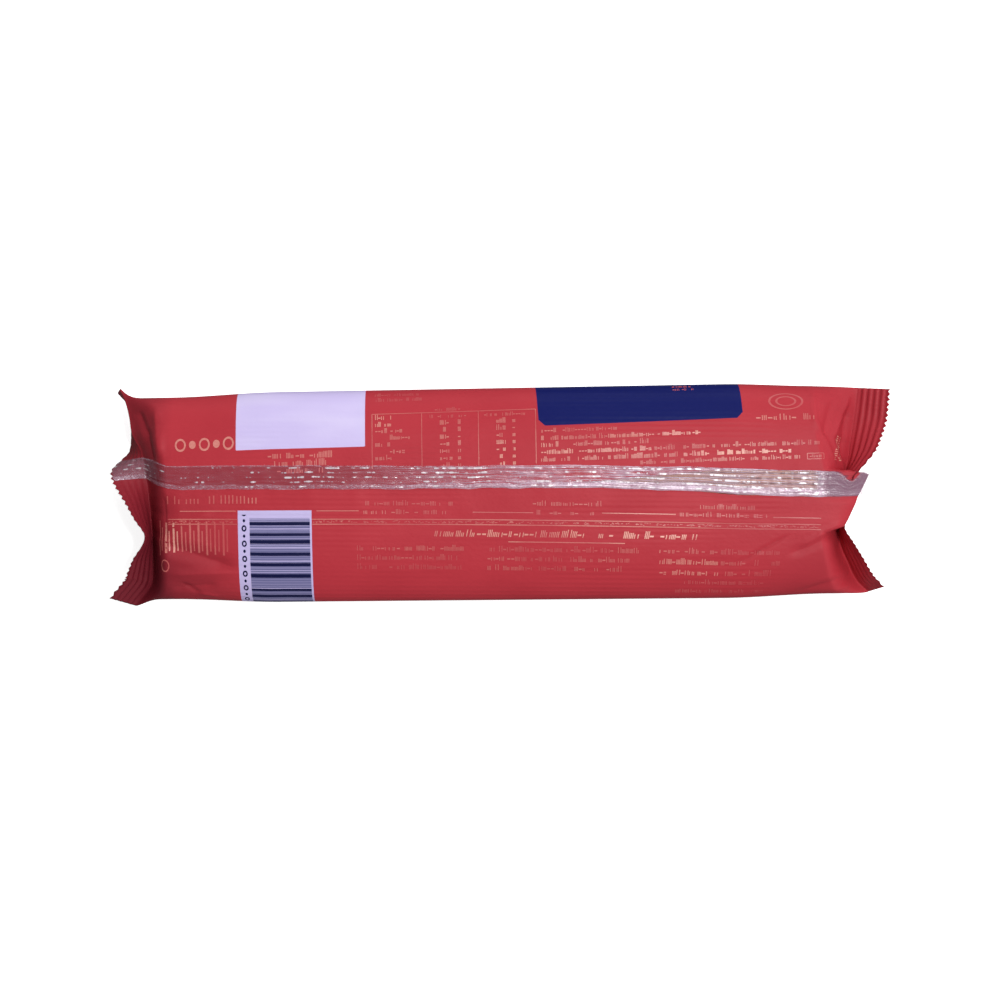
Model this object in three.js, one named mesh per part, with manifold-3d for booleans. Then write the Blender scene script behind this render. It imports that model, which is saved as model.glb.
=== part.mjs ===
// A flow-wrapped pack of long pasta, lying on its front with the lengthwise back seam up.
// Millimetres. +X runs along the strands, +Y across the pack, +Z up from the table.
// The wrap is one closed solid: a full body, two slopes where the film comes down over the
// strands' ends, and a crimped end seal with a zigzag cut at each end. The clear seam lies
// on it as a thin strip, and the strands that show through the seam lie in a shallow bed.
import * as THREE from "three";
import Module from "manifold-3d";
import { mergeVertices } from "three/addons/utils/BufferGeometryUtils.js";

// Driving dimensions of the full body
const BODY_WIDTH = 81.4;
const BODY_WIDENING = 1.1;
const BODY_THICKNESS = 27;
const SIDE_LINE_HEIGHT = 13;
const SECTION_ROUNDNESS = 2.9;
const FLOOR_PRESS = 1.045;
const SHOULDER_NARROWING = 1.4;
const BODY_WAVE = 0.35;

// Driving dimensions of the end seals
const CRIMP_WIDTH = 13;
const CRIMP_THICKNESS = 0.8;
const RIDGE_PITCH = 2.6;
const RIDGE_HEIGHT = 0.35;
const TOOTH_DEPTH = 1.1;
const SHOULDER_ROUNDING = 5;
const SEAL_FILLET = 2;
const SQUARE_TO_PACK = 0.35;
const TONGUE_HEIGHT = 28;
const TONGUE_TUCK = 5;
const TONGUE_UNDERSIDE = 24;

// Driving dimensions of the clear seam and of the strands under it
const SEAM_WIDTH = 9.8;
const SEAM_THICKNESS = 0.55;
const FIN_THICKNESS = 0.4;
const FIN_SHARE = 0.45;
const CLEARANCE = 0.35;
const STRAND_DIAMETER = 1.9;
const STRANDS_SHOWING = 4;
const BED_DEPTH = 2.6;
const BED_START = 52;
const BED_END = 117;

// How finely the surfaces are divided
const ACROSS = 40;
const BODY_ROWS = 13;
const SLOPE_ROWS = 5;
const CRIMP_ROWS = 10;
const TONGUE_TIP_ROW = 2;
const SECTION_SAMPLES = 240;

// Each end seal, from the ear at -Y (q = -1) to the ear at +Y (q = 1). reach and height
// place the line where the crimp starts, and tilt is how far the crimp stands up from flat.
// The tongue is the stiff stretch beside the seam, where the film runs out level past the
// crimp's edge and folds back under itself.
const LEFT_END = {
  outward: -1,
  width: 83.4,
  middle: 0.5,
  shoulder: { at: 125, skew: 0 },
  stations: [
    { q: -1.0, reach: 141.6, height: 10.0, tilt: 50 },
    { q: -0.76, reach: 134.8, height: 11.0, tilt: 50 },
    { q: -0.6, reach: 134.3, height: 12.0, tilt: 62 },
    { q: -0.36, reach: 134.4, height: 13.0, tilt: 88 },
    { q: -0.2, reach: 134.7, height: 13.2, tilt: 72 },
    { q: -0.04, reach: 135.2, height: 13.5, tilt: 56 },
    { q: 0.2, reach: 136.2, height: 13.5, tilt: 18 },
    { q: 0.42, reach: 137.8, height: 13.8, tilt: -52 },
    { q: 0.6, reach: 141.2, height: 14.2, tilt: -80 },
    { q: 0.82, reach: 142.4, height: 14.5, tilt: -84 },
    { q: 1.0, reach: 145.6, height: 14.5, tilt: -76 },
  ],
};
const RIGHT_END = {
  outward: 1,
  width: 78.6,
  middle: -0.2,
  shoulder: { at: 122, skew: -3 },
  stations: [
    { q: -1.0, reach: 141.5, height: 10.5, tilt: 72 },
    { q: -0.89, reach: 137.1, height: 10.8, tilt: 68 },
    { q: -0.73, reach: 134.0, height: 11.0, tilt: 72 },
    { q: -0.5, reach: 130.6, height: 11.2, tilt: 78 },
    { q: -0.36, reach: 130.0, height: 11.0, tilt: 88 },
    { q: -0.2, reach: 129.3, height: 10.0, tilt: 82 },
    { q: 0.0, reach: 130.6, height: 9.8, tilt: 70 },
    { q: 0.1, reach: 131.6, height: 10.2, tilt: 66 },
    { q: 0.2, reach: 133.0, height: 12.0, tilt: 86 },
    { q: 0.3, reach: 133.7, height: 12.8, tilt: 66 },
    { q: 0.4, reach: 134.3, height: 13.0, tilt: 50 },
    { q: 0.75, reach: 136.8, height: 12.5, tilt: 29 },
    { q: 1.0, reach: 138.2, height: 12.0, tilt: 32 },
  ],
  tongue: { from: { q: -0.33, reach: 129.8 }, to: { q: 0.15, reach: 140.2 } },
};

// Colours, roughness and metalness of the three finishes
const RED_FILM = new THREE.MeshStandardMaterial({ color: 0xbe404b, roughness: 0.42, metalness: 0 });
const CLEAR_FILM = new THREE.MeshStandardMaterial({
  color: 0xcbb7cf,
  roughness: 0.18,
  metalness: 0,
  transparent: true,
  opacity: 0.5,
});
const PASTA = new THREE.MeshStandardMaterial({ color: 0xc79a5e, roughness: 0.6, metalness: 0 });

const wasm = await Module();
wasm.setup();

const mix = (a, b, t) => a + (b - a) * t;
const clamp = (value, low, high) => Math.min(Math.max(value, low), high);
const easeBetween = (low, high, value) => {
  const t = clamp((value - low) / (high - low), 0, 1);
  return t * t * (3 - 2 * t);
};

// A cubic curve through the stations that never swings past them.
function along(stations, key, q) {
  const last = stations.length - 1;
  const steepness = (j) => (stations[j + 1][key] - stations[j][key]) / (stations[j + 1].q - stations[j].q);
  const slope = (j) => {
    if (j === 0 || j === last) return steepness(Math.min(j, last - 1));
    const [before, after] = [steepness(j - 1), steepness(j)];
    return before * after > 0 ? (2 * before * after) / (before + after) : 0;
  };
  let i = 0;
  while (i < last - 1 && q > stations[i + 1].q) i++;
  const [a, b] = [stations[i], stations[i + 1]];
  const span = b.q - a.q;
  const t = (q - a.q) / span;
  const [t2, t3] = [t * t, t * t * t];
  return (
    (2 * t3 - 3 * t2 + 1) * a[key] +
    (t3 - 2 * t2 + t) * span * slope(i) +
    (3 * t2 - 2 * t3) * b[key] +
    (t3 - t2) * span * slope(i + 1)
  );
}

// One half of the body's section as points at equal steps of film length from -Y to +Y.
// It is a superellipse, and the lower half is pressed flat where it meets the table.
function halfSection(side) {
  const points = [];
  for (let k = 0; k <= SECTION_SAMPLES; k++) {
    const angle = Math.PI * (1 - k / SECTION_SAMPLES);
    const [c, s] = [Math.cos(angle), Math.sin(angle)];
    const across = Math.sign(c) * Math.abs(c) ** (2 / SECTION_ROUNDNESS);
    const rise = Math.max(s, 0) ** (2 / SECTION_ROUNDNESS);
    const up = (BODY_THICKNESS - SIDE_LINE_HEIGHT) * rise;
    const down = Math.min(FLOOR_PRESS * SIDE_LINE_HEIGHT * rise, SIDE_LINE_HEIGHT);
    points.push([(BODY_WIDTH / 2) * across, SIDE_LINE_HEIGHT + (side > 0 ? up : -down)]);
  }
  const lengths = [0];
  for (let k = 1; k < points.length; k++) {
    const step = Math.hypot(points[k][0] - points[k - 1][0], points[k][1] - points[k - 1][1]);
    lengths.push(lengths[k - 1] + step);
  }
  return { points, lengths, total: lengths[lengths.length - 1] };
}

const HALVES = { 1: halfSection(1), "-1": halfSection(-1) };

// Where film length q (-1 to 1) lies on one half of the section.
function sectionPoint(side, q) {
  const { points, lengths, total } = HALVES[side];
  const wanted = ((q + 1) / 2) * total;
  let k = 1;
  while (k < lengths.length - 1 && lengths[k] < wanted) k++;
  const t = clamp((wanted - lengths[k - 1]) / (lengths[k] - lengths[k - 1]), 0, 1);
  return [mix(points[k - 1][0], points[k][0], t), mix(points[k - 1][1], points[k][1], t)];
}

const shoulderX = (end, q) => end.outward * (end.shoulder.at + end.shoulder.skew * q);

// The body: a little wider towards +X, drawn in at both shoulders, its top waving gently.
function bodyPoint(x, q, side) {
  const [y, z] = sectionPoint(side, q);
  const change = (BODY_WIDENING * x) / 120 - 2 * SHOULDER_NARROWING * easeBetween(85, 125, Math.abs(x));
  const wave = BODY_WAVE * Math.sin(x / 17) * (1 - q * q) * (side > 0 ? 1 : 0);
  return new THREE.Vector3(x, y * (1 + change / BODY_WIDTH), z + wave);
}

// The line where an end's crimp starts.
function sealPoint(end, q) {
  return new THREE.Vector3(
    end.outward * along(end.stations, "reach", q),
    end.middle + (q * end.width) / 2,
    along(end.stations, "height", q),
  );
}

// The crimp's own directions at q: out across the crimp, and up off its face. Out is square
// to the seal line, turned part of the way to the pack's length, and raised by the tilt.
function crimpDirections(end, q) {
  const step = 0.01;
  const tangent = sealPoint(end, Math.min(q + step, 1)).sub(sealPoint(end, Math.max(q - step, -1)));
  tangent.z = 0;
  tangent.normalize();
  const level = new THREE.Vector3(end.outward * tangent.y, -end.outward * tangent.x, 0);
  level.lerp(new THREE.Vector3(end.outward, 0, 0), SQUARE_TO_PACK).normalize();
  const tilt = THREE.MathUtils.degToRad(along(end.stations, "tilt", q));
  const out = level.clone().multiplyScalar(Math.cos(tilt));
  out.z += Math.sin(tilt);
  const face = level.clone().multiplyScalar(-Math.sin(tilt));
  face.z += Math.cos(tilt);
  return { out, face, level };
}

// The crimp at a distance from the seal line: a sheet with ridges along the seal.
function crimpPoint(end, distance, q, side) {
  const { out, face } = crimpDirections(end, q);
  const fade = easeBetween(0, RIDGE_PITCH / 2, distance);
  const ridge = RIDGE_HEIGHT * Math.cos((2 * Math.PI * distance) / RIDGE_PITCH) * fade;
  const half = (CRIMP_THICKNESS / 2) * Math.sqrt(Math.max(1 - q ** 12, 0));
  return sealPoint(end, q)
    .addScaledVector(out, distance)
    .addScaledVector(face, side * half + ridge);
}

// How much of the tongue there is at q, and how far out it reaches there.
function tongueShare({ tongue }, q) {
  if (!tongue) return 0;
  const rim = 0.04;
  return easeBetween(tongue.from.q - rim, tongue.from.q + rim, q) * easeBetween(tongue.to.q + rim, tongue.to.q - rim, q);
}
function tongueReach({ tongue: { from, to } }, q) {
  return mix(from.reach, to.reach, (q - from.q) / (to.q - from.q));
}

// The slope: a Bezier curve from the shoulder, level there, down (or up) to the seal line.
function slopePoint(end, t, q, side) {
  const start = bodyPoint(shoulderX(end, q), q, side);
  const finish = crimpPoint(end, 0, q, side);
  const { level } = crimpDirections(end, q);
  const first = start.clone();
  first.x += end.outward * SHOULDER_ROUNDING;
  const second = finish.clone().addScaledVector(level, -SEAL_FILLET);
  const share = side > 0 ? tongueShare(end, q) : 0;
  if (share > 0) {
    const foot = end.outward * finish.x;
    const pull = (tongueReach(end, q) - 0.216 * end.outward * start.x - 0.352 * foot + 0.288 * TONGUE_TUCK) / 0.432;
    first.lerp(new THREE.Vector3(end.outward * pull, start.y, TONGUE_HEIGHT), share);
    second.lerp(new THREE.Vector3(end.outward * (foot - TONGUE_TUCK), finish.y, TONGUE_UNDERSIDE), share);
  }
  return new THREE.CubicBezierCurve3(start, first, second, finish).getPoint(t);
}

// Every row of the wrap from the left cut edge to the right one, as functions of (q, side).
function wrapRows() {
  const crimp = (end) =>
    Array.from({ length: CRIMP_ROWS - 1 }, (_, k) => {
      const distance = ((k + 1) * CRIMP_WIDTH) / CRIMP_ROWS;
      return (q, side) => crimpPoint(end, distance, q, side);
    });
  const slope = (end) =>
    Array.from({ length: SLOPE_ROWS }, (_, k) => {
      const t = (k + 1) / SLOPE_ROWS;
      return (q, side) => slopePoint(end, t, q, side);
    });
  const body = Array.from({ length: BODY_ROWS + 1 }, (_, k) => (q, side) => {
    const x = mix(shoulderX(LEFT_END, q), shoulderX(RIGHT_END, q), k / BODY_ROWS);
    return bodyPoint(x, q, side);
  });
  return [
    ...crimp(LEFT_END).reverse(),
    ...slope(LEFT_END).reverse(),
    ...body,
    ...slope(RIGHT_END),
    ...crimp(RIGHT_END),
  ];
}

// A cut edge: twice as many points as a row, every second one a tooth's tip.
function cutEdge(end) {
  return (q, side, k) => {
    const depth = k % 2 ? TOOTH_DEPTH / 2 : -TOOTH_DEPTH / 2;
    return crimpPoint(end, CRIMP_WIDTH + depth, q, side);
  };
}

// The points of one row once round the film: the top from -Y to +Y, and the underside back.
function ringOf(row, across) {
  const ring = [];
  for (let k = 0; k <= across; k++) ring.push(row((2 * k) / across - 1, 1, k));
  for (let k = across - 1; k > 0; k--) ring.push(row((2 * k) / across - 1, -1, k));
  return ring;
}

// The wrap as one closed mesh: rings joined by quads, a finer toothed ring at each end, and
// a thin face between the two films along each cut edge.
function wrapGeometry() {
  const rings = wrapRows().map((row) => ringOf(row, ACROSS));
  const positions = [];
  const faces = [];
  const add = (ring) => {
    const first = positions.length / 3;
    ring.forEach((p) => positions.push(p.x, p.y, p.z));
    return first;
  };
  const starts = rings.map(add);
  const count = 2 * ACROSS;
  for (let r = 0; r + 1 < starts.length; r++) {
    for (let k = 0; k < count; k++) {
      const [a, b] = [starts[r] + k, starts[r] + ((k + 1) % count)];
      const [c, d] = [starts[r + 1] + k, starts[r + 1] + ((k + 1) % count)];
      faces.push(a, c, b, b, c, d);
    }
  }
  const finish = (end, base, turned) => {
    const fine = add(ringOf(cutEdge(end), count));
    const put = (a, b, c) => (turned ? faces.push(a, c, b) : faces.push(a, b, c));
    for (let k = 0; k < count; k++) {
      const [a, b] = [base + k, base + ((k + 1) % count)];
      const [c, d, e] = [fine + 2 * k, fine + 2 * k + 1, fine + ((2 * k + 2) % (2 * count))];
      put(a, c, d);
      put(a, d, b);
      put(b, d, e);
    }
    for (let k = 0; k < count; k++) {
      const [a, b] = [fine + k, fine + k + 1];
      const [c, d] = [fine + ((2 * count - k) % (2 * count)), fine + 2 * count - k - 1];
      if (k > 0) put(a, c, b);
      if (k + 1 < count) put(b, c, d);
    }
  };
  finish(LEFT_END, starts[0], true);
  finish(RIGHT_END, starts[starts.length - 1], false);
  const geometry = new THREE.BufferGeometry();
  geometry.setAttribute("position", new THREE.Float32BufferAttribute(positions, 3));
  geometry.setIndex(faces);
  return geometry;
}

// A ribbon on the wrap's upper face: a closed band between two heights off that face. rows
// are the wrap rows it follows, and edges(point) gives the q where it begins and ends.
function ribbonGeometry(rows, columns, edges, under, over) {
  const lower = [];
  const upper = [];
  rows.forEach((row, r) => {
    const [from, to] = edges(row(0, 1).x);
    for (let k = 0; k <= columns; k++) {
      const q = mix(from, to, k / columns);
      const point = row(q, 1);
      const ahead = (rows[r + 1] ?? row)(q, 1).sub((rows[r - 1] ?? row)(q, 1));
      const beside = row(q + 0.02, 1).sub(row(q - 0.02, 1));
      const normal = ahead.cross(beside).normalize();
      lower.push(point.clone().addScaledVector(normal, under(k / columns)));
      upper.push(point.clone().addScaledVector(normal, over(k / columns)));
    }
  });
  const width = columns + 1;
  const total = lower.length;
  const faces = [];
  const quad = (a, b, c, d) => faces.push(a, b, c, a, c, d);
  for (let r = 0; r + 1 < rows.length; r++) {
    for (let k = 0; k < columns; k++) {
      const at = r * width + k;
      quad(total + at, total + at + width, total + at + width + 1, total + at + 1);
      quad(at, at + 1, at + width + 1, at + width);
    }
    const [near, far] = [r * width, r * width + columns];
    quad(near, near + width, total + near + width, total + near);
    quad(far, total + far, total + far + width, far + width);
  }
  const lastRow = (rows.length - 1) * width;
  for (let k = 0; k < columns; k++) {
    quad(k, total + k, total + k + 1, k + 1);
    quad(lastRow + k, lastRow + k + 1, total + lastRow + k + 1, total + lastRow + k);
  }
  const geometry = new THREE.BufferGeometry();
  const flat = [...lower, ...upper].flatMap((p) => [p.x, p.y, p.z]);
  geometry.setAttribute("position", new THREE.Float32BufferAttribute(flat, 3));
  geometry.setIndex(faces);
  return geometry;
}

// The seam's two edges in q at a place along the pack: it drifts towards the middle of the
// pack on its way to +X, and swings off to +Y and narrows as it runs down the left end.
function seamEdges(x) {
  const halfFilm = HALVES[1].total / 2;
  const leftEnd = easeBetween(124, 138, -x);
  const middle = 4.5 - 0.0195 * x + 5.8 * leftEnd;
  const half = SEAM_WIDTH / 2 - 0.4 * leftEnd;
  return [(middle - half) / halfFilm, (middle + half) / halfFilm];
}

// The strands' share of the seam, kept inside its edges.
function bedEdges(x) {
  const [from, to] = seamEdges(x);
  const rim = 0.09 * (to - from);
  return [from + rim, to - rim];
}

function strandCrown(share) {
  const place = (share * STRANDS_SHOWING) % 1;
  const off = Math.abs(place - 0.5) * 2;
  return (STRAND_DIAMETER / 2) * (1 - Math.sqrt(1 - 0.86 * off * off));
}

// The seam runs from the left cut edge to the tip of the right end's tongue.
function seamGeometry() {
  const beyondTongue = CRIMP_ROWS - 1 + SLOPE_ROWS - TONGUE_TIP_ROW;
  const rows = wrapRows().slice(1, -beyondTongue);
  const over = (share) => CLEARANCE + SEAM_THICKNESS + (share < FIN_SHARE ? FIN_THICKNESS : 0);
  return ribbonGeometry(rows, 9, seamEdges, () => CLEARANCE, over);
}

// Straight rows over the bed, which lies within the body.
function bedRows(from, to, count) {
  return Array.from({ length: count + 1 }, (_, k) => (q, side) =>
    bodyPoint(mix(from, to, k / count), q, side),
  );
}

function strandsGeometry() {
  const rows = bedRows(BED_START, BED_END, 8);
  const under = () => -BED_DEPTH + CLEARANCE;
  const over = (share) => -0.15 - strandCrown(share);
  return ribbonGeometry(rows, STRANDS_SHOWING * 6, bedEdges, under, over);
}

function bedCutter() {
  const rows = bedRows(BED_START - CLEARANCE, BED_END + CLEARANCE, 8);
  const wider = (x) => {
    const [from, to] = bedEdges(x);
    const rim = CLEARANCE / (HALVES[1].total / 2);
    return [from - rim, to + rim];
  };
  return ribbonGeometry(rows, 6, wider, () => -BED_DEPTH, () => 1);
}

// A geometry as a solid for cutting, and a solid as a geometry.
function solidOf(geometry) {
  const merged = mergeVertices(geometry, 1e-4);
  return new wasm.Manifold(
    new wasm.Mesh({
      numProp: 3,
      vertProperties: merged.attributes.position.array,
      triVerts: new Uint32Array(merged.index.array),
    }),
  );
}

function geometryOf(solid) {
  const mesh = solid.getMesh();
  const geometry = new THREE.BufferGeometry();
  geometry.setAttribute("position", new THREE.BufferAttribute(new Float32Array(mesh.vertProperties), 3));
  geometry.setIndex(new THREE.BufferAttribute(new Uint32Array(mesh.triVerts), 1));
  geometry.computeVertexNormals();
  return geometry;
}

function named(name, geometry, material) {
  const mesh = new THREE.Mesh(geometry, material);
  mesh.name = name;
  return mesh;
}

// The origin is under the middle of the pack's footprint.
function centred(group) {
  const box = new THREE.Box3().setFromObject(group);
  const middle = box.getCenter(new THREE.Vector3());
  group.position.set(-middle.x, -middle.y, -box.min.z);
  return group;
}

const group = new THREE.Group();
group.add(named("film_pack", geometryOf(solidOf(wrapGeometry()).subtract(solidOf(bedCutter()))), RED_FILM));
group.add(named("clear_seam", seamGeometry(), CLEAR_FILM));
group.add(named("spaghetti", strandsGeometry(), PASTA));

export default centred(group);
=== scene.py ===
"""A flow-wrapped pack of long pasta, lying on its front with its clear lengthwise seam up.

Every shape is worked out in millimetres in the pack's own directions: x along the strands,
y across the pack and z up. q runs over one sheet of the film from the -Y side (-1) to the
+Y side (1), and side is 1 for the upper sheet and -1 for the lower one.
"""
import math
from functools import partialmethod

import bpy
import numpy as np
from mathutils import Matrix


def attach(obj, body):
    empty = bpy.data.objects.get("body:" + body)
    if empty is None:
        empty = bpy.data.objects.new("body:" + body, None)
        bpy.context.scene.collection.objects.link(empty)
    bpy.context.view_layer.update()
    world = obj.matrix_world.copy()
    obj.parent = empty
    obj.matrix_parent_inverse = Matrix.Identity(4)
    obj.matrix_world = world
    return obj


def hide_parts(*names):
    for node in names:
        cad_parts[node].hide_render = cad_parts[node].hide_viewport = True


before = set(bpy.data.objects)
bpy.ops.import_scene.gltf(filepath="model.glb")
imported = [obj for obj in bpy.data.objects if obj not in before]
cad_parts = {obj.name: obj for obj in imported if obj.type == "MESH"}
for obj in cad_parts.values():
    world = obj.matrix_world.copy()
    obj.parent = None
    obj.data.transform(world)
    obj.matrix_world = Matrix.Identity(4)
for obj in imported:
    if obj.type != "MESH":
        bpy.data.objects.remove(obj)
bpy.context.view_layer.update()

MM = 0.001
TO_MM = 1000
TO_FRAME = np.array([0.25, -0.48, 0.0])  # the frame's origin is under the middle of its box

# The full body
BODY_WIDTH = 81.4
BODY_WIDENING = 1.1
BODY_THICKNESS = 27.0
SIDE_LINE_HEIGHT = 13.0
SECTION_ROUNDNESS = 2.9
FLOOR_PRESS = 1.045
SHOULDER_NARROWING = 1.4
BODY_WAVE = 0.35

# The end seals
CRIMP_WIDTH = 13.0
FILM_THICKNESS = 0.22
RIDGE_PITCH = 2.6
RIDGE_HEIGHT = 0.27
TEETH = 40
TOOTH_DEPTH = 0.95
SHOULDER_ROUNDING = 4.8
SEAL_FILLET = 1.6
SQUARE_TO_PACK = 0.35
TONGUE_HEIGHT = 26.7
TONGUE_TUCK = 5.0
TONGUE_UNDERSIDE = 22.5
TONGUE_RIM = 0.025

# The strands
STRAND_DIAMETER = 1.9
STRAND_PITCH = 1.98
STRAND_RELIEF = 0.045
STRAND_LAYERS = 2
STRANDS_ACROSS = 9
FIRST_STRAND = -6.2
STRAND_CLEARANCE = 0.55
LAYER_DROP = 1.62
STRAND_SIDES = 12
STRAND_RINGS = 90

# How finely the film is divided: columns round each sheet, and rows along the pack
TOP_COLUMNS = 240
UNDER_COLUMNS = 80
BODY_ROWS = 168
SLOPE_ROWS = 34
CRIMP_ROWS = 35
SETTLED_ROWS = 12  # the rows by each crimp over which the wrinkles fade in

# The plain areas of the print: from, to, lower and upper level, and the cut of lower corners
LABEL_BOX = (-99.9, -51.0, 19.6, 64.0, 0.3)
PANEL_BOX = (14.9, 92.4, 25.3, 72.0, 2.3)
PANEL_SLANT = 0.06
STRIPED_BOX = (-99.4, -71.5, -62.0, -6.4, 0.4)
BARS_BOX = (-95.0, -72.2, -60.5, -9.3)
RINGS_BOX = (-99.0, -95.4, -60.0, -8.0)

# The striped label's bars and rings
BAR_PITCH = 0.95
WIDE_BAR_PITCH = 4.3
RING_PITCH = 2.95
RING_MIDDLE = -97.1

# The view of the photograph
PHOTO_SPAN = 378.0
PHOTO_DISTANCE = 800.0
PHOTO_ROLL = -0.76
PHOTO_CENTRE = (-0.2, -2.3)
SENSOR_WIDTH = 36.0

# The room's light: how strong, and how much brighter towards +X and +Y
SKY_LIGHT = 0.62
SKY_LEAN = (0.85, 0.22)
FLOOR_HALF = 3.0

UP = np.array([0.0, 0.0, 1.0])
ALONG = np.array([1.0, 0.0, 0.0])
ACROSS = np.array([0.0, 1.0, 0.0])


def mix(a, b, t):
    return a + (b - a) * t


def ease(low, high, value):
    """0 below low, 1 above high, and a smooth rise between them."""
    t = np.clip((value - low) / (high - low), 0, 1)
    return t * t * (3 - 2 * t)


def unit(vectors):
    return vectors / np.linalg.norm(vectors, axis=-1, keepdims=True)


def value_noise(u, v, seed):
    """Smooth noise from -1 to 1 over arrays u and v, one random value at each whole number."""
    table = np.random.default_rng(seed).uniform(-1, 1, (64, 64))
    i, j = np.floor(u).astype(int), np.floor(v).astype(int)
    s, t = u - i, v - j
    s, t = s * s * (3 - 2 * s), t * t * (3 - 2 * t)
    low = mix(table[i % 64, j % 64], table[(i + 1) % 64, j % 64], s)
    high = mix(table[i % 64, (j + 1) % 64], table[(i + 1) % 64, (j + 1) % 64], s)
    return mix(low, high, t)


def through(knots, values, at):
    """A cubic curve through (knots, values) that never swings past them."""
    steep = np.diff(values) / np.diff(knots)
    slope = np.concatenate([steep[:1], np.zeros(len(steep) - 1), steep[-1:]])
    product = steep[:-1] * steep[1:]
    steady = product > 0
    slope[1:-1][steady] = 2 * product[steady] / (steep[:-1] + steep[1:])[steady]
    i = np.clip(np.searchsorted(knots, at, side="right") - 1, 0, len(knots) - 2)
    span = knots[i + 1] - knots[i]
    t = (at - knots[i]) / span
    return (
        (2 * t**3 - 3 * t**2 + 1) * values[i]
        + (t**3 - 2 * t**2 + t) * span * slope[i]
        + (3 * t**2 - 2 * t**3) * values[i + 1]
        + (t**3 - t**2) * span * slope[i + 1]
    )


class End:
    """One end of the pack. Its stations run from the ear at -Y (q = -1) to the one at +Y.

    Each station holds q, where the shoulder is, how far the crimp's inner line reaches and
    its height, the crimp's tilt up from flat in degrees, its lean towards +Y, and how strongly
    its ridges show.
    """

    NAMES = ("shoulder", "reach", "height", "tilt", "lean", "ridges")

    def __init__(self, outward, width, middle, stations, tongue=None):
        self.outward = outward
        self.width = width
        self.middle = middle
        table = np.array(stations, float).T
        self.knots = table[0]
        self.columns = dict(zip(self.NAMES, table[1:]))
        self.tongue = tongue

    def at(self, name, q):
        return through(self.knots, self.columns[name], q)

    def shoulder(self, q):
        return self.outward * self.at("shoulder", q)

    def tongue_share(self, q):
        """1 where the film runs out past the crimp's edge and folds back under itself."""
        if self.tongue is None:
            return np.zeros_like(q)
        (low, _), (high, _) = self.tongue
        rise = ease(low - TONGUE_RIM, low + TONGUE_RIM, q)
        return rise * (1 - ease(high - TONGUE_RIM, high + TONGUE_RIM, q))

    def tongue_reach(self, q):
        (low, from_reach), (high, to_reach) = self.tongue
        return mix(from_reach, to_reach, (q - low) / (high - low))


LEFT_END = End(
    outward=-1,
    width=83.4,
    middle=0.5,
    stations=[
        (-1.0, 131.0, 141.6, 10.0, 50, 0, 1.1),
        (-0.76, 127.0, 134.8, 11.0, 50, 0, 1.1),
        (-0.6, 126.5, 134.3, 12.0, 62, 0, 1.1),
        (-0.36, 126.0, 134.4, 13.0, 88, 0, 0.6),
        (-0.2, 126.0, 134.7, 13.2, 72, 0, 0.3),
        (-0.04, 126.0, 135.2, 13.5, 56, 0, 0.3),
        (0.2, 126.0, 136.2, 13.5, 18, 0, 0.3),
        (0.42, 127.5, 137.8, 13.8, -52, 0, 0.4),
        (0.6, 127.0, 141.2, 14.2, -80, 0, 0.5),
        (0.74, 129.0, 142.0, 14.4, -83, 0, 0.5),
        (0.9, 134.0, 143.6, 14.6, -81, 0, 0.5),
        (1.0, 140.0, 145.6, 14.5, -76, 0, 0.5),
    ],
)
RIGHT_END = End(
    outward=1,
    width=78.6,
    middle=-0.2,
    stations=[
        (-1.0, 130.0, 141.5, 10.5, 70, 0, 0.3),
        (-0.89, 127.0, 137.1, 10.8, 67, 0, 0.3),
        (-0.73, 124.0, 134.0, 11.0, 70, 0, 0.3),
        (-0.5, 121.5, 130.6, 11.2, 78, 0, 0.3),
        (-0.36, 120.5, 130.0, 11.0, 88, 0, 0.3),
        (-0.2, 121.0, 129.3, 10.0, 82, 0, 0.5),
        (0.0, 122.0, 130.6, 9.8, 70, 0, 0.5),
        (0.1, 122.0, 131.6, 10.2, 66, 0, 1.0),
        (0.2, 121.5, 133.0, 15.2, 88, -0.3, 1.0),
        (0.3, 120.5, 133.7, 14.6, 68, -0.12, 1.0),
        (0.4, 119.5, 134.3, 13.6, 50, 0, 1.0),
        (0.75, 117.5, 136.8, 12.5, 29, 0, 1.0),
        (1.0, 119.0, 138.2, 12.0, 32, 0, 1.0),
    ],
    tongue=((-0.33, 129.8), (0.15, 140.2)),
)


def half_section(side):
    """One half of the body's section: a superellipse, pressed flat where it meets the table.

    Returns q, which is even steps of film length scaled to -1..1, with y, z and the length.
    """
    angle = np.pi * (1 - np.linspace(0, 1, 2001))
    c, s = np.cos(angle), np.maximum(np.sin(angle), 0)
    y = BODY_WIDTH / 2 * np.sign(c) * np.abs(c) ** (2 / SECTION_ROUNDNESS)
    rise = s ** (2 / SECTION_ROUNDNESS)
    if side > 0:
        z = SIDE_LINE_HEIGHT + (BODY_THICKNESS - SIDE_LINE_HEIGHT) * rise
    else:
        z = SIDE_LINE_HEIGHT - np.minimum(FLOOR_PRESS * SIDE_LINE_HEIGHT * rise, SIDE_LINE_HEIGHT)
    lengths = np.concatenate([[0], np.cumsum(np.hypot(np.diff(y), np.diff(z)))])
    return 2 * lengths / lengths[-1] - 1, y, z, lengths[-1]


SECTIONS = {side: half_section(side) for side in (1, -1)}
HALF_TOP = SECTIONS[1][3] / 2
HALF_UNDER = SECTIONS[-1][3] / 2


def body_point(x, q, side):
    """The body, a little wider towards +X, drawn in at the shoulders, its top waving gently."""
    knots, ys, zs, _ = SECTIONS[side]
    y, z = np.interp(q, knots, ys), np.interp(q, knots, zs)
    change = BODY_WIDENING * x / 120 - 2 * SHOULDER_NARROWING * ease(85, 125, np.abs(x))
    if side > 0:
        z = z + BODY_WAVE * np.sin(x / 17) * (1 - q * q)
    return np.stack([x + 0 * y, y * (1 + change / BODY_WIDTH), z], -1)


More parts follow.
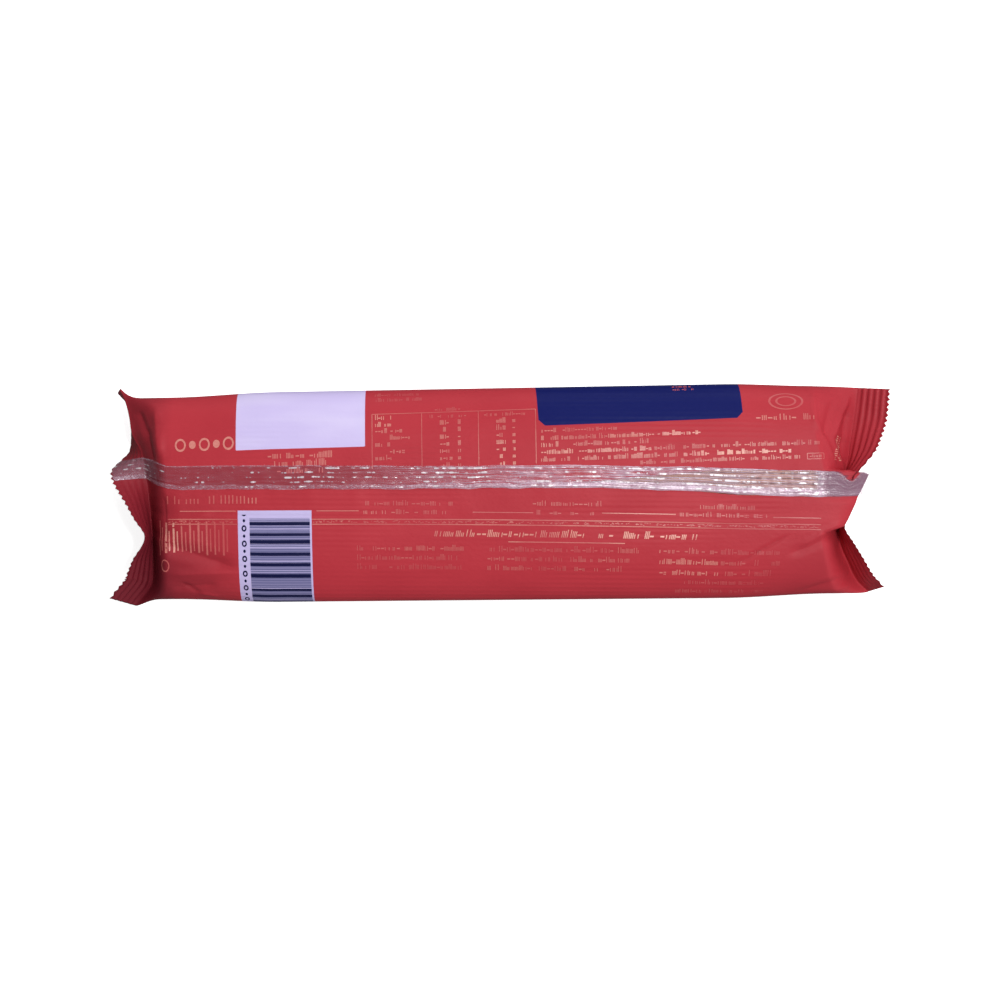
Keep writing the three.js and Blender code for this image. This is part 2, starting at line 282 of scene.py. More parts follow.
def seal_line(end, q):
    """The line where an end's crimp starts."""
    y = end.middle + q * end.width / 2
    return np.stack([end.outward * end.at("reach", q), y, end.at("height", q)], -1)


def crimp_directions(end, q):
    """Out across the crimp, up off its face, and the level direction square to the seal."""
    tangent = seal_line(end, np.minimum(q + 0.01, 1)) - seal_line(end, np.maximum(q - 0.01, -1))
    tangent[..., 2] = 0
    tangent = unit(tangent)
    level = np.stack([tangent[..., 1], -tangent[..., 0], 0 * q], -1) * end.outward
    level = unit(mix(level, ALONG * end.outward, SQUARE_TO_PACK))
    tilt = np.radians(end.at("tilt", q))[..., None]
    lean = end.at("lean", q)[..., None]
    out = unit(level * np.cos(tilt) + UP * np.sin(tilt) + ACROSS * lean)
    face = UP * np.cos(tilt) - level * np.sin(tilt)
    return out, face, level


def crimp_point(end, distance, q, side):
    """The crimp at a distance from the seal line: a sheet with ridges along the seal."""
    out, face, _ = crimp_directions(end, q)
    fade = ease(0, RIDGE_PITCH / 2, distance)
    ridge = RIDGE_HEIGHT * np.cos(2 * np.pi * distance / RIDGE_PITCH) * fade * end.at("ridges", q)
    sway = 0.35 * value_noise(q * 7 + 3, distance / 9, 11 + end.outward) * ease(0, 6, distance)
    half = FILM_THICKNESS / 2 * np.sqrt(np.maximum(1 - q**12, 0))
    offset = (side * half + ridge + sway)[..., None]
    return seal_line(end, q) + out * np.asarray(distance)[..., None] + face * offset


def tooth(q):
    """The zigzag of the cut edge: a soft triangle wave, a little uneven."""
    phase = (q + 1) / 2 * TEETH
    wave = 2 * np.abs(phase % 1 - 0.5)
    uneven = 1 + 0.25 * value_noise(phase / 2, phase * 0, 5)
    return TOOTH_DEPTH * (wave - 0.5) * uneven


def slope_point(end, t, q, side):
    """The slope: a Bezier curve from the shoulder, level there, to the seal line."""
    start = body_point(end.shoulder(q), q, side)
    finish = crimp_point(end, np.zeros_like(q), q, side)
    level = crimp_directions(end, q)[2]
    first = start + ALONG * end.outward * SHOULDER_ROUNDING
    second = finish - level * SEAL_FILLET
    if side > 0 and end.tongue is not None:
        share = end.tongue_share(q)[..., None]
        foot = end.outward * finish[:, 0]
        reach = end.tongue_reach(q)
        pull = (reach - 0.216 * end.outward * start[:, 0] - 0.352 * foot + 0.288 * TONGUE_TUCK) / 0.432
        over = np.stack([end.outward * pull, start[:, 1], 0 * q + TONGUE_HEIGHT], -1)
        under = np.stack([end.outward * (foot - TONGUE_TUCK), finish[:, 1], 0 * q + TONGUE_UNDERSIDE], -1)
        first = mix(first, over, share)
        second = mix(second, under, share)
    weights = ((1 - t) ** 3, 3 * t * (1 - t) ** 2, 3 * t**2 * (1 - t), t**3)
    return sum(w * p for w, p in zip(weights, (start, first, second, finish)))


def sheet_rows(q, side):
    """Every row of one sheet from the left cut edge to the right one, shape (rows, q, 3)."""
    def crimp(end):
        share = np.arange(1, CRIMP_ROWS + 1) / CRIMP_ROWS
        return [crimp_point(end, s * (CRIMP_WIDTH + tooth(q)), q, side) for s in share]

    def slope(end):
        return [slope_point(end, t, q, side) for t in np.arange(1, SLOPE_ROWS + 1) / SLOPE_ROWS]

    even = np.linspace(0, 1, BODY_ROWS + 1)
    places = mix(even, (1 - np.cos(np.pi * even)) / 2, 0.45)
    left, right = LEFT_END.shoulder(q), RIGHT_END.shoulder(q)
    body = [body_point(mix(left, right, s), q, side) for s in places]
    ends = [slope(LEFT_END) + crimp(LEFT_END), slope(RIGHT_END) + crimp(RIGHT_END)]
    return np.array(ends[0][::-1] + body + ends[1])


LEFT_ROWS = SLOPE_ROWS + CRIMP_ROWS
RIGHT_START = LEFT_ROWS + BODY_ROWS


def grid_normals(points):
    """Unit normals of a grid of points, pointing up where the rows run to +X and q to +Y."""
    return unit(np.cross(np.gradient(points, axis=0), np.gradient(points, axis=1)))


# Creases in the upper film: two ends in x and y, depth (up is positive) and half width
CREASES = [
    ((119.4, 37.0), (119.8, 25.0), 0.45, 2.2),
    ((119.6, 26.6), (127.4, 10.7), 0.6, 2.0),
    ((135.5, 37.9), (126.4, 18.7), 1.0, 2.2),
    ((126.4, 19.6), (131.9, 6.0), 0.8, 1.8),
    ((133.8, 31.0), (130.6, 13.0), -1.3, 3.0),
    ((127.5, 34.0), (122.6, 20.0), -0.8, 3.0),
    ((89.5, -27.6), (107.5, -17.6), -0.6, 1.1),
    ((129.0, -12.4), (114.0, -21.5), 0.6, 2.2),
    ((128.0, -16.5), (110.0, -24.0), -0.7, 3.2),
    ((130.0, -33.5), (112.0, -39.5), -0.6, 2.2),
    ((-121.5, -32.2), (-115.0, -36.2), -0.7, 1.2),
    ((-115.0, -36.2), (-108.0, -37.6), 0.5, 1.2),
    ((-126.0, -38.0), (-116.0, -38.6), 0.5, 1.3),
    ((-138.0, 33.0), (-134.5, 24.5), -0.9, 2.4),
    ((-134.5, 26.0), (-132.5, 14.0), -1.1, 2.8),
    ((-131.0, 33.0), (-129.0, 17.0), 0.8, 3.0),
    ((-128.0, 1.0), (-127.0, -15.0), -1.3, 6.5),
    ((-126.0, -12.0), (-110.0, -6.0), 0.5, 2.8),
    ((-128.0, -17.0), (-103.0, -26.0), -1.3, 5.0),
    ((-125.0, -29.0), (-101.0, -28.5), 0.7, 3.0),
    ((-124.0, -34.0), (-109.0, -33.0), -0.8, 3.0),
]


def crease_relief(x, y):
    """How far the creases move the film: a V along each, fading at its ends."""
    relief = np.zeros_like(x)
    for (ax, ay), (bx, by), depth, width in CREASES:
        length = math.hypot(bx - ax, by - ay)
        along = ((x - ax) * (bx - ax) + (y - ay) * (by - ay)) / length**2
        aside = ((x - ax) * (by - ay) - (y - ay) * (bx - ax)) / length
        nearness = 1 - np.clip(np.abs(aside) / width, 0, 1)
        fade = ease(-0.12, 0.18, along) * (1 - ease(0.82, 1.12, along))
        relief += depth * nearness**1.6 * fade
    return relief


def film_relief(points, q):
    """The film's wrinkles: gathers near both ends, slack round the seam, a cosine ripple over
    the strands, and the creases. All but the ripple and the creases are smooth noise."""
    x, y = points[..., 0], points[..., 1]
    q = np.broadcast_to(q, x.shape)
    away = np.minimum(np.abs(x + 134), np.abs(x - 131))
    gathers = np.exp(-((away / 9) ** 2)) * (np.abs(x) < 140)
    relief = 0.28 * gathers * value_noise(q * 16 + 20, x / 26 + 9, 3)
    relief += 0.1 * value_noise(x / 21 + 30, q * 4 + 9, 7) * (1 - q**2)
    relief += 0.08 * value_noise(x / 38 + 12, q * 12 + 33, 19)
    relief += 0.05 * value_noise(x / 9 + 5, q * 6 + 50, 23)
    slack = np.exp(-(((y - 3) / 13) ** 2))
    relief += 0.1 * slack * value_noise(x / 4.2 + 40, q * 5 + 2, 9)
    ripple = np.cos(2 * np.pi * (q * HALF_TOP + 0.02 * x) / STRAND_PITCH)
    shown = 0.6 + value_noise(x / 31 + 7, q * 6 + 60, 13)
    relief += STRAND_RELIEF * ripple * shown * (1 - ease(96, 116, np.abs(x)))
    return (relief + crease_relief(x, y)) * ease(0.02, 0.2, 1 - np.abs(q))


def settle(top, q):
    """The upper sheet with its relief, which leaves the crimps' own ridges alone."""
    share = np.zeros(top.shape[:2])
    share[CRIMP_ROWS : top.shape[0] - CRIMP_ROWS] = 1
    ramp = ease(0, SETTLED_ROWS, np.arange(SLOPE_ROWS))
    share[CRIMP_ROWS:LEFT_ROWS] *= ramp[:, None]
    share[RIGHT_START + 1 : RIGHT_START + 1 + SLOPE_ROWS] *= ramp[::-1, None]
    return top + grid_normals(top) * (film_relief(top, q) * share)[..., None]


def film_length(top):
    """How far along the flat film each point of the upper sheet lies: x on the body, then
    the length of the film itself out over the slopes and crimps."""
    steps = np.linalg.norm(np.diff(top, axis=0), axis=-1)
    along = top[..., 0].copy()
    right, left = slice(RIGHT_START + 1, None), slice(0, LEFT_ROWS)
    along[right] = along[RIGHT_START] + np.cumsum(steps[RIGHT_START:], axis=0)
    along[left] = along[LEFT_ROWS] - np.cumsum(steps[:LEFT_ROWS][::-1], axis=0)[::-1]
    return along


def add_object(name, data):
    """A new object in the scene."""
    made = bpy.data.objects.new(name, data)
    bpy.context.scene.collection.objects.link(made)
    return made


def make_mesh(name, points, faces, uv=None):
    """A smooth mesh object in metres in the frame, from points in mm, with an optional UV map."""
    mesh = bpy.data.meshes.new(name)
    mesh.from_pydata(((points + TO_FRAME) * MM).tolist(), [], faces)
    mesh.polygons.foreach_set("use_smooth", np.ones(len(mesh.polygons), bool))
    if uv is not None:
        layer = mesh.uv_layers.new(name="film")
        layer.data.foreach_set("uv", (uv * MM).astype(np.float32).ravel())
    mesh.update()
    piece = add_object(name, mesh)
    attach(piece, "root")
    return piece


def store(piece, name, values):
    """Keep a number on each of a piece's points."""
    layer = piece.data.attributes.new(name, "FLOAT", "POINT")
    layer.data.foreach_set("value", values.astype(np.float32).ravel())


def grid_faces(rows, columns, wrap):
    """Quads of a grid of points, wound so that rows to +X and columns to +Y face up."""
    count = columns if wrap else columns - 1
    r, k = np.meshgrid(np.arange(rows - 1), np.arange(count), indexing="ij")
    near, far = r * columns, (r + 1) * columns
    after = (k + 1) % columns
    return np.stack([near + k, far + k, far + after, near + after], -1).reshape(-1, 4)


def grid_corners(places):
    """The UV places of each quad's corners, for a grid whose last column may repeat the first."""
    corners = [places[:-1, :-1], places[1:, :-1], places[1:, 1:], places[:-1, 1:]]
    return np.stack(corners, 2).reshape(-1, 2)


def cut_edge(columns, start, facing):
    """Faces that close the film's cut edge, each one from a piece of the under sheet to the
    several finer pieces of the upper sheet above it."""
    finer = TOP_COLUMNS // UNDER_COLUMNS
    near = UNDER_COLUMNS // 2
    faces = []
    for n in range(UNDER_COLUMNS):
        under = [(near - n) % columns, (near - n - 1) % columns]
        upper = [near + finer * n + i for i in range(finer, -1, -1)]
        loop = [start + v for v in dict.fromkeys(under + upper)]
        faces.append(loop if facing > 0 else loop[::-1])
    return faces


TOP_Q = np.linspace(-1, 1, TOP_COLUMNS + 1)
UNDER_Q = np.linspace(0, -1, UNDER_COLUMNS // 2 + 1)
TOP_SHEET = settle(sheet_rows(TOP_Q, 1), TOP_Q)
TOP_NORMALS = grid_normals(TOP_SHEET)
TOP_ALONG = film_length(TOP_SHEET)


def build_wrap():
    """The printed film as one tube round the strands, flattened into a crimp at each end.

    Each row runs from the middle of the underside down the -Y side, over the top and back.
    """
    under = sheet_rows(UNDER_Q, -1), sheet_rows(-UNDER_Q[::-1], -1)
    points = np.concatenate([under[0][:, :-1], TOP_SHEET, under[1][:, 1:-1]], axis=1)
    rows, columns = points.shape[:2]
    girth = np.concatenate([
        -HALF_TOP - (1 + UNDER_Q[:-1]) * HALF_UNDER,
        TOP_Q * HALF_TOP,
        HALF_TOP + (1 + UNDER_Q[::-1][1:]) * HALF_UNDER,
    ])
    sides = film_length(under[0])[:, :-1], film_length(under[1])[:, 1:]
    along = np.concatenate([sides[0], TOP_ALONG, sides[1]], axis=1)
    places = np.stack(np.broadcast_arrays(along, girth), -1)
    faces = grid_faces(rows, columns, wrap=True).tolist()
    edges = cut_edge(columns, 0, -1) + cut_edge(columns, (rows - 1) * columns, 1)
    flat = places[[0, -1]][:, UNDER_COLUMNS // 2]
    edge_corners = np.zeros((sum(len(loop) for loop in edges), 2)) + flat[0]
    corners = np.concatenate([grid_corners(places), edge_corners])
    wrap = make_mesh("wrap_film", points.reshape(-1, 3), faces + edges, corners)
    q = girth[:-1] / HALF_TOP
    low, high = seam_edges(points[..., 0])
    inside = np.minimum(q - low, high - q)
    store(wrap, "under_seam", ease(-0.004, 0.006, inside))
    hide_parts("film_pack")
    return wrap


# The seam's middle and half width in q at places along the pack
SEAM_X = np.array([-150.0, -137, -131, -126, -121, -38, 38, 75, 113, 127, 141])
SEAM_MIDDLE = np.array([0.275, 0.27, 0.215, 0.174, 0.168, 0.142, 0.128, 0.094, 0.052, 0.045, 0.042])
SEAM_HALF = np.array([0.094, 0.094, 0.095, 0.096, 0.096, 0.092, 0.088, 0.098, 0.104, 0.103, 0.096])
SEAM_ROWS = 5
SEAM_WIDTH = 10.0
SEAM_STEPS = 760
SEAM_COLUMNS = 44
TAIL_STEPS = 8
TAIL_LENGTH = 2


def seam_edges(x):
    """The seam's lower and upper edge in q. A pointed fold of the printed film hides a corner
    of it just before the right crimp's tip."""
    middle, half = np.interp(x, SEAM_X, SEAM_MIDDLE), np.interp(x, SEAM_X, SEAM_HALF)
    hidden = 0.078 * ease(127.6, 133.0, x) * (1 - ease(133.2, 137.6, x))
    return middle - half, middle + half - hidden


def on_sheet(grid, row, q):
    """A grid over the upper sheet, read at fractional rows and q by straight interpolation."""
    column = (q + 1) / 2 * TOP_COLUMNS
    r = np.clip(np.floor(row).astype(int), 0, len(grid) - 2)
    c = np.clip(np.floor(column).astype(int), 0, TOP_COLUMNS - 1)
    s, t = (row - r)[..., None], (column - c)[..., None]
    near = mix(grid[r, c], grid[r, c + 1], t)
    far = mix(grid[r + 1, c], grid[r + 1, c + 1], t)
    return mix(near, far, s)


def sheet_row(x, q):
    """The row of the upper sheet that lies x along the flat film, at the column nearest q."""
    column = np.clip(np.rint((q + 1) / 2 * TOP_COLUMNS).astype(int), 0, TOP_COLUMNS)
    row = np.zeros_like(x)
    for c in np.unique(column):
        here = column == c
        row[here] = np.interp(x[here], TOP_ALONG[:, c], np.arange(len(TOP_ALONG)))
    return row


def build_seam():
    """The clear seam: a ribbon on the film, puckered over the strands, thicker at its fin.

    Its height over the film is a low parabola for each of its rows, noise for the puckers and
    a step for the fin, let down at both edges. A short tail rises off the film at the right.
    """
    tip_row = RIGHT_START + 0.42 * SLOPE_ROWS
    even = np.linspace(0, 1, SEAM_STEPS)
    row = 1 + (tip_row - 1) * even
    guide = on_sheet(TOP_SHEET, row, np.full_like(row, 0.15))[:, 0]
    for _ in range(2):
        middle = np.interp(guide, SEAM_X, SEAM_MIDDLE)
        guide = on_sheet(TOP_SHEET, row, middle)[:, 0]
    lower = seam_edges(on_sheet(TOP_SHEET, row, seam_edges(guide)[0])[:, 0])[0]
    upper = seam_edges(on_sheet(TOP_SHEET, row, middle + 0.08)[:, 0])[1]
    lower = lower + 0.006 * value_noise(guide / 6, guide * 0, 21)
    upper = upper + 0.005 * value_noise(guide / 9, guide * 0 + 5, 22)
    share = np.linspace(0, 1, SEAM_COLUMNS)[None, :]
    q = mix(lower[:, None], upper[:, None], share)
    rows = np.broadcast_to(row[:, None], q.shape)
    base = on_sheet(TOP_SHEET, rows, q)
    within = (share * SEAM_ROWS) % 1
    crests = 0.2 * (1 - (2 * within - 1) ** 2)
    puckers = 0.2 * value_noise(guide[:, None] / 2.3 + 70, share * SEAM_ROWS + 4.5, 31)
    puckers = puckers + 0.07 * value_noise(guide[:, None] / 1.1 + 11, share * 2 * SEAM_ROWS + 8, 33)
    fin = 0.25 * (1 - ease(0.3, 0.4, share)) + 0.14
    rim = ease(0, 0.05, share) * (1 - ease(0.95, 1, share))
    body = ease(-129, -124, guide)[:, None]
    height = 0.05 + rim * (fin + (crests + puckers) * mix(0.5, 1, body))
    points = base + grid_normals(base) * height[..., None]
    outward = np.linspace(0, 1, TAIL_STEPS + 1)[1:, None, None]
    thread = ease(0.9, 1.0, share)[..., None]
    tail = 0.5 + 1.4 * ease(0.6, 0.9, share)[..., None] + 2.6 * thread
    lift = np.concatenate([tail, tail * 0.5 * thread, -0.12 * tail], -1)
    points = np.concatenate([points, points[-1:] + outward * lift], 0)
    along = np.concatenate([guide, guide[-1] + outward[:, 0, 0] * TAIL_LENGTH])
    places = np.stack(np.broadcast_arrays(along[:, None], share * SEAM_WIDTH), -1)
    quads = grid_faces(len(points), SEAM_COLUMNS, wrap=False)
    seam = make_mesh("seam_film", points.reshape(-1, 3), quads.tolist(), grid_corners(places))
    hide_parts("clear_seam")
    return seam


def build_strands():
    """Strands under the clear stretch of the film: two layers of rods, each a little bent."""
    rng = np.random.default_rng(8)
    points, faces = [], []
    for layer in range(STRAND_LAYERS):
        for k in range(STRANDS_ACROSS - layer):
            g = FIRST_STRAND + (k + 0.5 * layer) * STRAND_PITCH + rng.uniform(-0.08, 0.08)
            reach = 125.0 if k < 6 - layer else 120.5
            x = np.linspace(44 + rng.uniform(-3, 3), reach + rng.uniform(-1.2, 0.4), STRAND_RINGS)
            bend = 0.16 * value_noise(x / 24 + rng.uniform(0, 50), x * 0, 41 + k)
            q = (g + 0.022 * (90 - x) + bend) / HALF_TOP
            radius = STRAND_DIAMETER / 2 * rng.uniform(0.95, 1.04)
            top = body_point(np.clip(x, -120, 121), q, 1)
            height = top[:, 2] - radius - STRAND_CLEARANCE - LAYER_DROP * layer - rng.uniform(0, 0.15)
            centre = np.stack([x, top[:, 1], height], -1)
            angle = np.linspace(0, 2 * np.pi, STRAND_SIDES, endpoint=False)
            around = np.stack([0 * angle, np.cos(angle), np.sin(angle)], -1) * radius
            start = sum(len(p) for p in points)
            points.append((centre[:, None] + around[None]).reshape(-1, 3))
            quads = grid_faces(STRAND_RINGS, STRAND_SIDES, wrap=True)[:, ::-1] + start
            faces += quads.tolist()
            tip = start + np.arange(STRAND_SIDES)
            faces.append(tip.tolist()[::-1])
            faces.append((tip + (STRAND_RINGS - 1) * STRAND_SIDES).tolist())
    strands = make_mesh("strands", np.concatenate(points), faces)
    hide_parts("spaghetti")
    return strands


# The ink: its height over the film, its longest step along it, its strength and thin rules
INK_LIFT = 0.05
INK_STEP = 1.3
INK_STRENGTH = 0.88
RULE_HALF = 0.17

# Printed marks above the seam: from, to, first row, row pitch, rows, cap height, cell width,
# stroke, slant, ragged end, strength
UPPER_MARKS = [
    (-87.9, -61.9, 17.0, 3, 1, 2.2, 1.75, 0.14, 0, 0, 0.95),
    (-85.5, -64.0, 14.1, 3, 1, 2.2, 1.75, 0.14, 0, 0, 0.9),
    (-84.4, -65.5, 11.2, 3, 1, 2.1, 1.75, 0.13, 0, 0, 0.55),
    (-47.4, -27.9, 40.6, 2.6, 2, 1.6, 1.2, 0.11, 0, 4, 0.2),
    (-24.6, -13.9, 33.2, 3, 1, 1.5, 1.1, 0.11, 0, 0, 0.35),
    (-26.5, -11.7, 30.5, 3, 1, 1.5, 1.0, 0.12, 0, 0, 0.5),
    (-5.9, 10.1, 30.5, 3, 1, 1.5, 1.0, 0.12, 0, 0, 0.6),
    (-47.2, -34.0, 30.6, 5.2, 3, 1.75, 1.15, 0.14, 0, 7, 0.85),
    (-47.2, -37.0, 27.9, 12.9, 2, 1.75, 1.15, 0.14, 0, 4, 0.8),
    (-42.8, -32.0, 22.8, 5.3, 2, 1.75, 1.15, 0.14, 0, 3, 0.8),
    (-22.7, -17.4, 27.9, 2.7, 7, 1.75, 1.2, 0.15, 0, 1.2, 0.95),
    (-15.9, -14.6, 27.9, 2.7, 7, 1.6, 1.2, 0.16, 0, 0, 0.8),
    (-1.3, 3.4, 27.9, 2.7, 7, 1.75, 1.2, 0.15, 0, 1.2, 0.95),
    (4.8, 6.1, 27.9, 2.7, 7, 1.6, 1.2, 0.16, 0, 0, 0.8),
    (15.7, 44.8, 23.5, 3, 1, 1.75, 1.15, 0.11, 0, 0, 0.6),
    (15.6, 41.0, 20.6, 3, 1, 1.75, 1.1, 0.12, 0, 0, 0.7),
    (41.0, 76.6, 20.6, 3, 1, 1.75, 1.1, 0.2, 0, 0, 1.0),
    (15.6, 58.0, 18.0, 3, 1, 1.75, 1.1, 0.13, 0, 0, 0.8),
    (15.5, 58.0, 15.3, 3, 1, 1.75, 1.1, 0.19, 0, 0, 1.0),
    (58.4, 121.5, 15.3, 3, 1, 1.75, 1.1, 0.11, 0, 0, 0.6),
    (15.5, 69.0, 12.5, 3, 1, 1.75, 1.1, 0.13, 0, 0, 0.8),
    (69.4, 111.0, 12.5, 3, 1, 1.75, 1.1, 0.2, 0, 0, 0.95),
    (53.0, 114.0, 10.0, 3, 1, 1.6, 1.1, 0.12, 0, 0, 0.65),
    (117.0, 122.0, 10.0, 3, 1, 1.1, 0.95, 0.12, 0, 0, 0.45),
    (97.0, 119.5, 25.4, 3, 1, 2.2, 2.25, 0.1, 0, 0, 0.5),
    (66.0, 75.0, 40.4, 1.9, 2, 1.3, 0.9, 0.14, 0, 3, 0.45),
]

# The same below the seam
LOWER_MARKS = [
    (-126.6, -87.4, -2.3, 3, 1, 2.8, 4.4, 0.07, 0, 0, 0.45),
    (-53.0, -18.0, -3.7, 3, 1, 1.7, 1.75, 0.1, 0, 0, 0.3),
    (-52.0, -19.3, -7.0, 3, 1, 1.7, 1.75, 0.1, 0, 0, 0.4),
    (12.0, 39.3, -3.4, 3, 1, 1.8, 1.75, 0.1, 0, 0, 0.65),
    (13.5, 37.4, -6.9, 3, 1, 1.6, 1.6, 0.1, 0, 0, 0.5),
    (75.3, 96.9, -3.7, 3, 1, 1.7, 1.75, 0.11, 0, 0, 0.4),
    (67.6, 101.6, -6.7, 3, 1, 1.7, 1.75, 0.1, 0, 0, 0.35),
    (-25.4, 46.0, -15.0, 4, 1, 2.5, 2.0, 0.11, 0.22, 0, 0.85),
    (46.0, 74.9, -15.0, 4, 1, 2.5, 2.0, 0.14, 0.22, 0, 1.0),
    (-54.6, -10.4, -20.7, 3.6, 3, 2.0, 1.5, 0.1, 0, 5, 0.28),
    (-5.4, 54.8, -20.8, 3.6, 3, 2.0, 1.5, 0.1, 0, 6, 0.3),
    (59.7, 83.0, -20.5, 4.15, 3, 2.1, 1.6, 0.15, 0.08, 0, 0.6),
    (83.0, 107.6, -20.5, 4.15, 3, 2.1, 1.6, 0.12, 0.08, 4, 0.3),
    (66.0, 102.0, -32.6, 4.0, 2, 1.8, 1.6, 0.1, 0, 9, 0.18),
]

# Thin printed rules below the seam: from, to, level
LOWER_RULES = [
    (-121.3, -100.1, -6.6, 0.55),
    (-69.6, -53.6, -6.6, 0.4),
    (-10.6, 12.3, -7.0, 0.45),
    (38.3, 66.2, -6.8, 0.6),
    (103.0, 121.0, -7.3, 0.6),
    (2.7, 46.8, -18.1, 0.75),
]


# How fast the print slips round the film along the pack, above and below the seam
DRIFT = {True: (0.0195, 0.00005), False: (-0.021, -0.00008)}


def print_drift(x, upper):
    """How far the print has slipped round the film at x, so that it meets itself a few
    millimetres out at the seam."""
    steady, growing = DRIFT[upper]
    return x * steady + x * x * growing


def small_marks(rng, start, end, level, cap, cell, stroke, slant, strength):
    """One row of small printed marks, as boxes (x0, x1, v0, v1, slant, strength). Each cell
    holds up to three plain uprights of one height, or a level dash, or nothing."""
    place = start + cell * np.arange(int((end - start) / cell))
    look = rng.random((6, len(place)))
    used = look[0] > 0.15
    dash = look[1] > 0.8
    height = cap * np.where(look[2] < 0.65, 0.72, 1.0)
    foot = np.full_like(place, level - cap / 2)
    thin = min(stroke * cell, 0.42)
    boxes = []
    for share, there in ((0.08, look[3] > 0.08), (0.4, look[4] > 0.45), (0.72, look[5] > 0.2)):
        x0 = place + share * cell
        top = foot + height * (0.8 + 0.4 * look[5])
        boxes.append(np.stack([x0, x0 + 1.5 * thin, foot, top])[:, used & there & ~dash])
    rise = foot + 0.38 * cap
    bar = np.stack([place + 0.1 * cell, place + 0.85 * cell, rise - 0.12 * cap, rise + 0.12 * cap])
    boxes.append(bar[:, used & dash])
    boxes = np.concatenate(boxes, axis=1).T
    extra = np.broadcast_to([slant, strength], (len(boxes), 2))
    return np.concatenate([boxes, extra], axis=1)


def mark_rows(table, seed):
    """Every row of marks in a table, each row ending where its own ragged edge falls."""
    rng = np.random.default_rng(seed)
    boxes = []
    for start, end, first, pitch, rows, cap, cell, stroke, slant, ragged, strength in table:
        for n in range(rows):
            finish = end - ragged * rng.random()
            level = first - n * pitch
            boxes.append(small_marks(rng, start, finish, level, cap, cell, stroke, slant, strength))
    return np.concatenate(boxes)


def rule(start, end, level, half, strength):
    """A level printed line as a box, half being half its width."""
    return [start, end, level - half, level + half, 0.0, strength]


def upper_boxes():
    """The print above the seam: rows of marks, the thin lines of a table and a small frame."""
    lines = [[x - 0.13, x + 0.13, 11.0, 32.0, 0.0, 0.5] for x in (-48.3, -29.5, -8.0, 13.7)]
    lines.append(rule(-48.3, 13.7, 32.0, 0.13, 0.45))
    lines += [rule(116.2, 122.6, level, 0.12, 0.45) for level in (8.9, 11.1)]
    lines += [[x - 0.12, x + 0.12, 8.9, 11.1, 0.0, 0.45] for x in (116.2, 122.6)]
    rng = np.random.default_rng(27)
    for level in np.arange(8.9, 19.4, 0.85):
        for x in (131.4, 134.2):
            width = rng.uniform(0.8, 2.1)
            start = x + rng.uniform(0, 2.1 - width) - (19.4 - level) * 0.3
            lines.append([start, start + width, level, level + 0.45, 0.0, rng.uniform(0.4, 0.9)])
    return np.concatenate([mark_rows(UPPER_MARKS, 3), np.array(lines)])


def lower_boxes():
    """The print below the seam: marks, rules, a speckled double rule and a tall row of bars."""
    rng = np.random.default_rng(12)
    lines = [rule(low, high, level, RULE_HALF, share) for low, high, level, share in LOWER_RULES]
    for start, end in ((-126, -99.6), (-71.3, 121)):
        lines += [rule(start, end, level, 0.18, 0.42) for level in (-9.8, -11.7)]
        for x in rng.uniform(start, end - 1, int((end - start) * 1.7)):
            level = rng.uniform(-11.2, -10.3)
            lines.append(rule(x, x + rng.uniform(0.3, 0.9), level, 0.12, rng.uniform(0.15, 0.45)))
    for n, x in enumerate(np.arange(-130.5, -104.5, 3.15)):
        width, drop = rng.uniform(0.5, 1.0), rng.uniform(0, 1.8)
        bright = 0.85 if n < 3 else 0.3
        lines.append([x, x + width, -24.6 + drop, -10.4 - drop / 2, 0.0, bright])
        lines.append([x + 1.5, x + 2.0, -22.5, -13.0 - drop, 0.0, bright * 0.8])
    return np.concatenate([mark_rows(LOWER_MARKS, 61), np.array(lines)])


def box_grid(box, upper):
    """One box divided finely enough to follow the film: places, faces and ink strengths."""
    x0, x1, v0, v1, slant, strength = box
    across = np.linspace(x0, x1, 2 + int((x1 - x0) / INK_STEP))
    up = np.linspace(v0, v1, 2 + int((v1 - v0) / INK_STEP))
    x, v = np.meshgrid(across, up, indexing="ij")
    x = x + slant * (v - v0)
    places = np.stack([x, v + print_drift(x, upper)], -1).reshape(-1, 2)
    return places, grid_faces(len(across), len(up), wrap=False), np.full(x.size, strength)


def ring_grid(x, level, radius, squash, line, strength, upper=True, steps=28):
    """A flat ring of ink, an ellipse swept by its line's width."""
    angle = np.linspace(0, 2 * np.pi, steps + 1)
    r = np.array([radius + line, radius - line])[None, :]
    places_x = x + squash * r * np.cos(angle)[:, None]
    v = level + r * np.sin(angle)[:, None]
    places = np.stack([places_x, v + print_drift(places_x, upper)], -1).reshape(-1, 2)
    return places, grid_faces(steps + 1, 2, wrap=False), np.full(len(places), strength)


